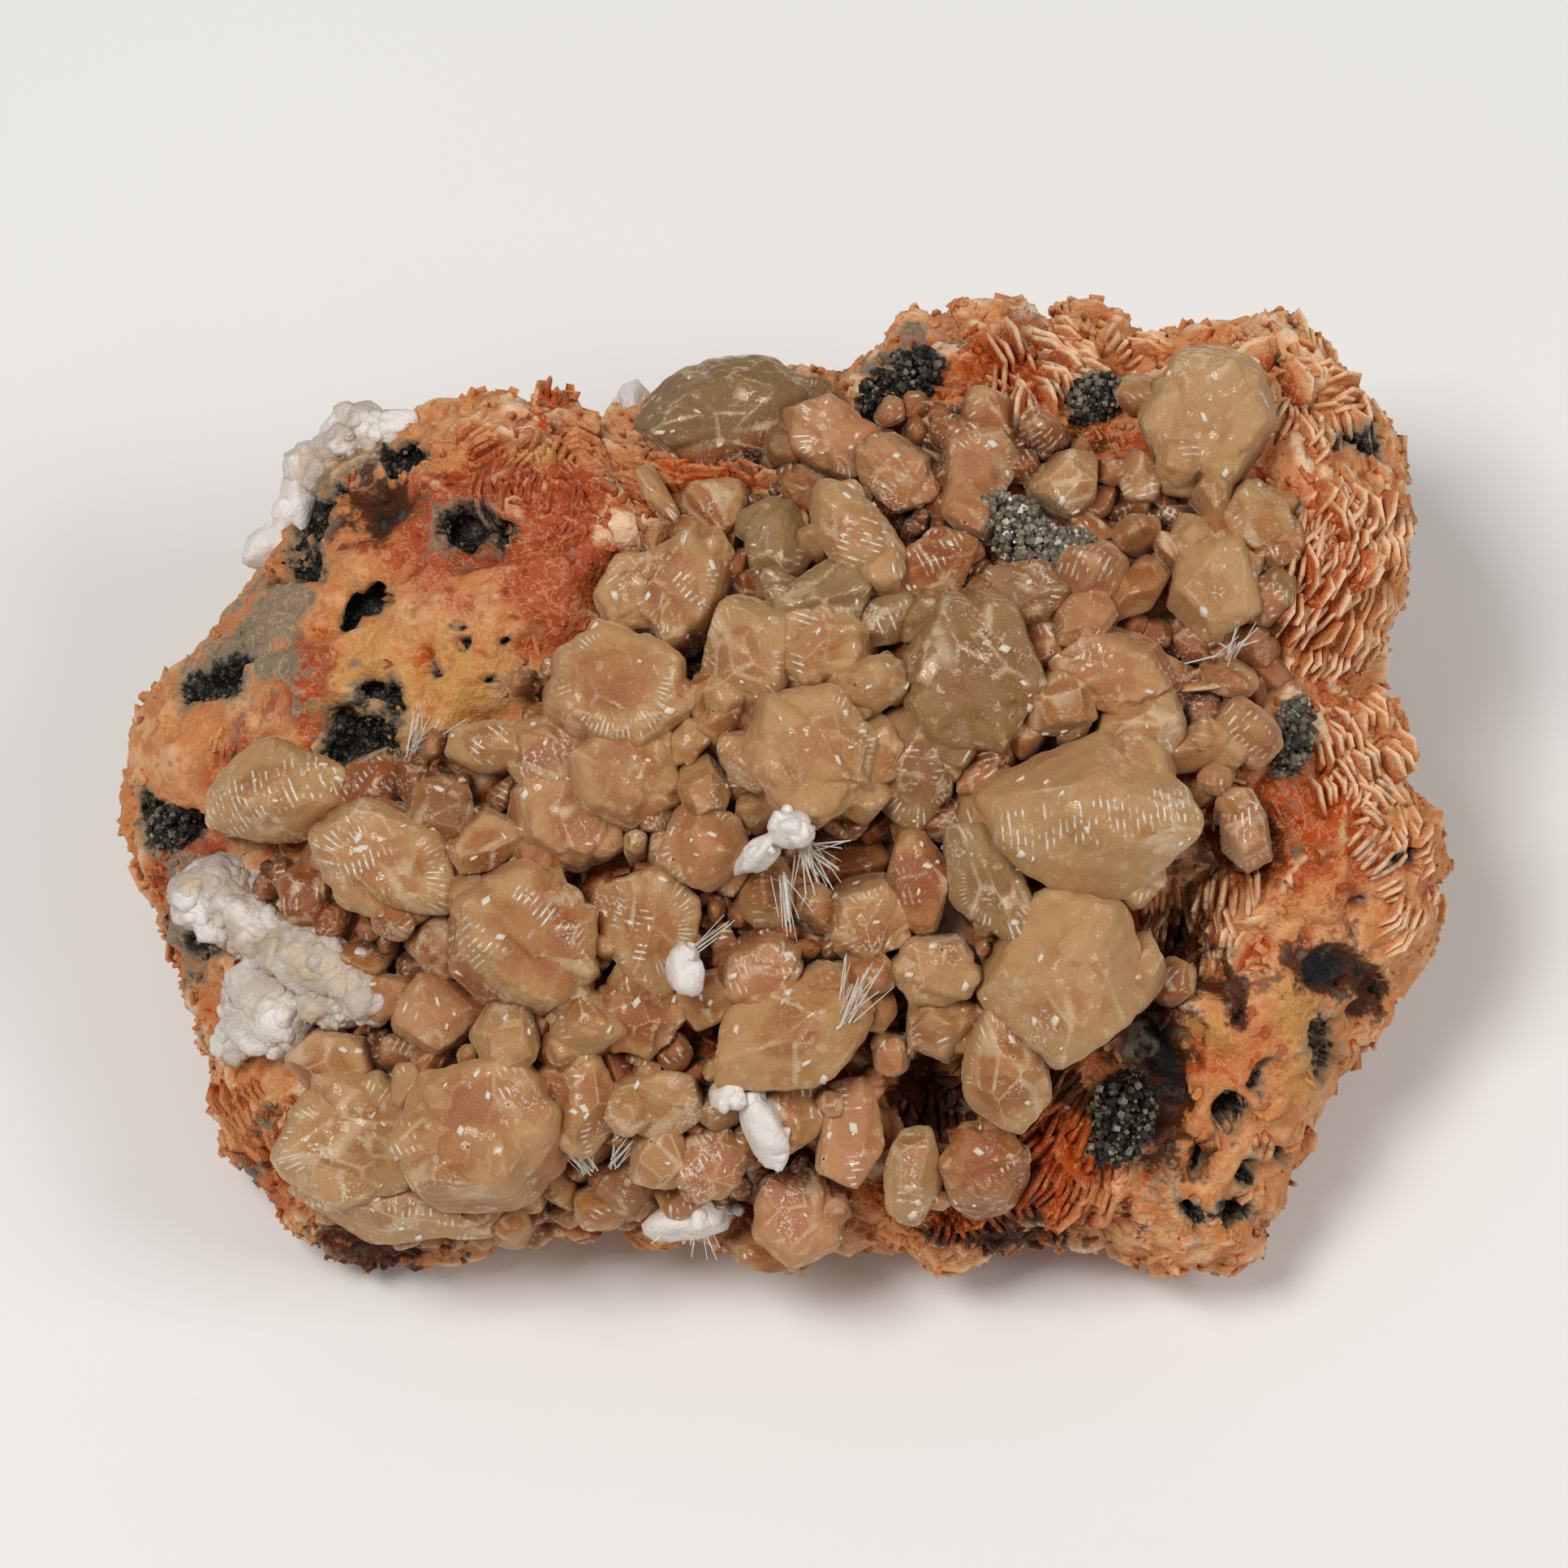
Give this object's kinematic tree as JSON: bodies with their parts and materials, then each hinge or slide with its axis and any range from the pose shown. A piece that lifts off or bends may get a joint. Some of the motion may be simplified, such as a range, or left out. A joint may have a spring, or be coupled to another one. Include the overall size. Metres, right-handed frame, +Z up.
{
  "type": "mineral specimen of barite with cerussite",
  "caption": "Hand specimen of bladed orange barite with a crust of honey-coloured cerussite crystals, dark galena and white crust, resting on a flat base.",
  "frame": {"origin": "the middle of the flat base that the specimen rests on", "axes": "+X along the specimen's length, +Z up from the base, and the crystal face looks up and towards -Y"},
  "size_m": [0.0825, 0.059, 0.0408],
  "materials": {
    "barite": "rough",
    "cerussite": "glossy",
    "white_crust": "matte",
    "galena": "satin"
  },
  "bodies": {
    "root": {"barite_matrix": "barite", "cerussite_amber_pair": "cerussite", "cerussite_big_plate": "cerussite", "cerussite_big_tablet": "cerussite", "cerussite_bottle": "cerussite", "cerussite_bottom_middle_group": "cerussite", "cerussite_bottom_tan": "cerussite", "cerussite_broad_grey": "cerussite", "cerussite_brown_grey": "cerussite", "cerussite_centre_tablet": "cerussite", "cerussite_column": "cerussite", "cerussite_great_block": "cerussite", "cerussite_great_lens": "cerussite", "cerussite_grey_green": "cerussite", "cerussite_left_dull_group": "cerussite", "cerussite_left_lens": "cerussite", "cerussite_left_middle_chain": "cerussite", "cerussite_left_olive": "cerussite", "cerussite_left_tablet": "cerussite", "cerussite_little_egg": "cerussite", "cerussite_lower_left_group": "cerussite", "cerussite_lower_oval": "cerussite", "cerussite_lower_striated": "cerussite", "cerussite_middle_facets": "cerussite", "cerussite_oblong": "cerussite", "cerussite_olive": "cerussite", "cerussite_pale_block": "cerussite", "cerussite_pale_disc": "cerussite", "cerussite_pale_finger": "cerussite", "cerussite_pink_plates": "cerussite", "cerussite_right_bead": "cerussite", "cerussite_right_chain": "cerussite", "cerussite_stacked_pair": "cerussite", "cerussite_striated_fan": "cerussite", "cerussite_striated_leaf": "cerussite", "cerussite_striated_lean": "cerussite", "cerussite_tan_plates": "cerussite", "cerussite_thick_tablets": "cerussite", "cerussite_top_edge_block": "cerussite", "cerussite_top_pink_pair": "cerussite", "cerussite_upper_left_trio": "cerussite", "cerussite_upper_middle": "cerussite", "cerussite_upper_right_bead": "cerussite", "cerussite_upper_sparkling": "cerussite", "galena_grey": "galena", "galena_left_edge": "galena", "galena_lower_right": "galena", "galena_right": "galena", "galena_top": "galena", "galena_top_right": "galena", "white_ball": "white_crust", "white_blebs": "white_crust", "white_crust_left": "white_crust", "white_crust_rim": "white_crust", "white_drop": "white_crust", "white_fan": "white_crust", "white_knob": "white_crust"}
  },
  "joints": []
}
